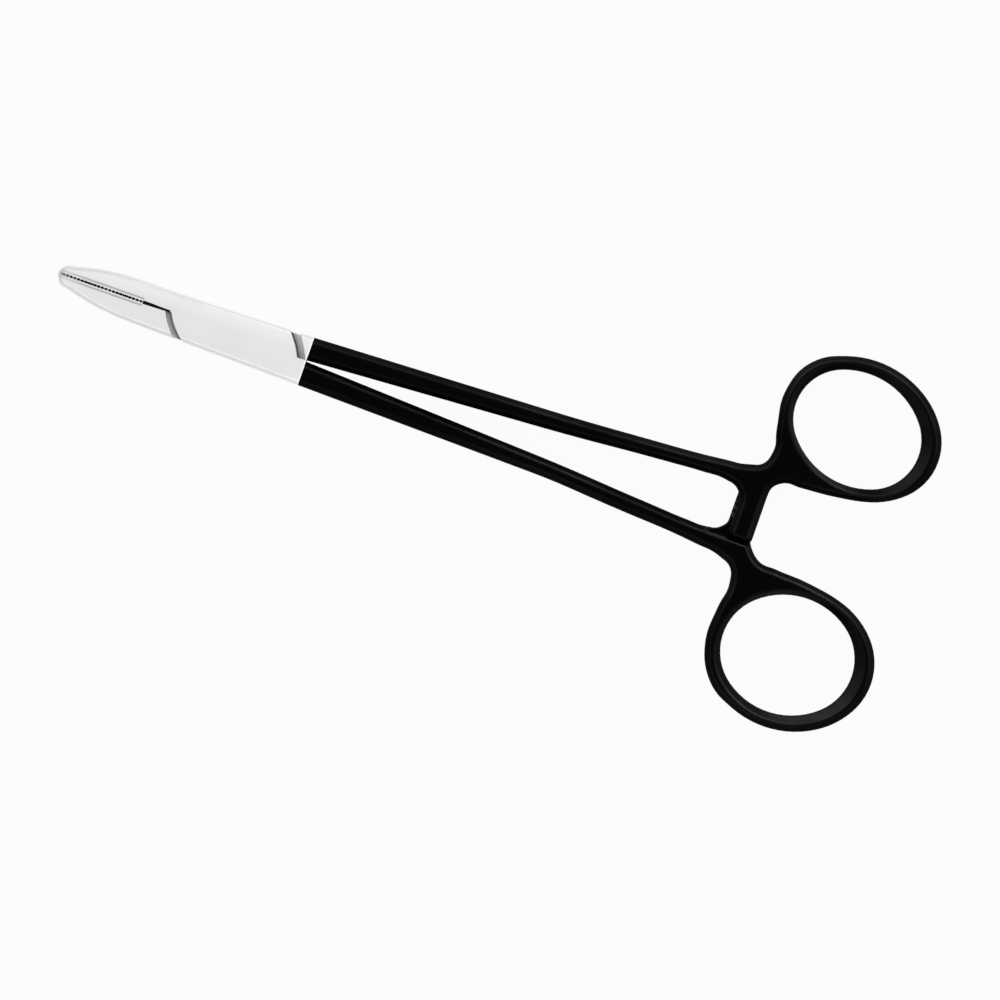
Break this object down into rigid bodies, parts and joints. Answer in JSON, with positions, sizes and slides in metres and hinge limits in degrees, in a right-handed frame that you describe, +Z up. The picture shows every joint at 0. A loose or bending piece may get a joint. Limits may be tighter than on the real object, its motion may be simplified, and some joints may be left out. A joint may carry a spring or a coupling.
{
  "type": "surgical needle holder",
  "caption": "Ring-handled surgical needle holder with a box lock, cross-hatched jaw inserts, ratchet bars and black-coated handles; opens like scissors.",
  "frame": {"origin": "on the plane the instrument lies on, straight below the rivet of the box lock", "axes": "+X towards the finger rings, +Z up along the rivet"},
  "size_m": [0.1805, 0.0764, 0.006],
  "materials": {
    "steel_and_coat": "satin stainless steel jaws and box, glossy black coat on the handles from 15 mm behind the rivet",
    "steel": "satin ground",
    "carbide": "dark, fine cross-hatched"
  },
  "bodies": {
    "female": {"female_half": "steel_and_coat", "box_lock_pin": "steel", "upper_insert": "carbide"},
    "male": {"male_half": "steel_and_coat", "lower_insert": "carbide"}
  },
  "joints": [
    {"name": "box_lock", "type": "hinge", "parent": "female", "child": "male", "pos_m": [0, 0, 0.003], "axis": [0, 0, 1], "range_deg": [0, 40]}
  ]
}
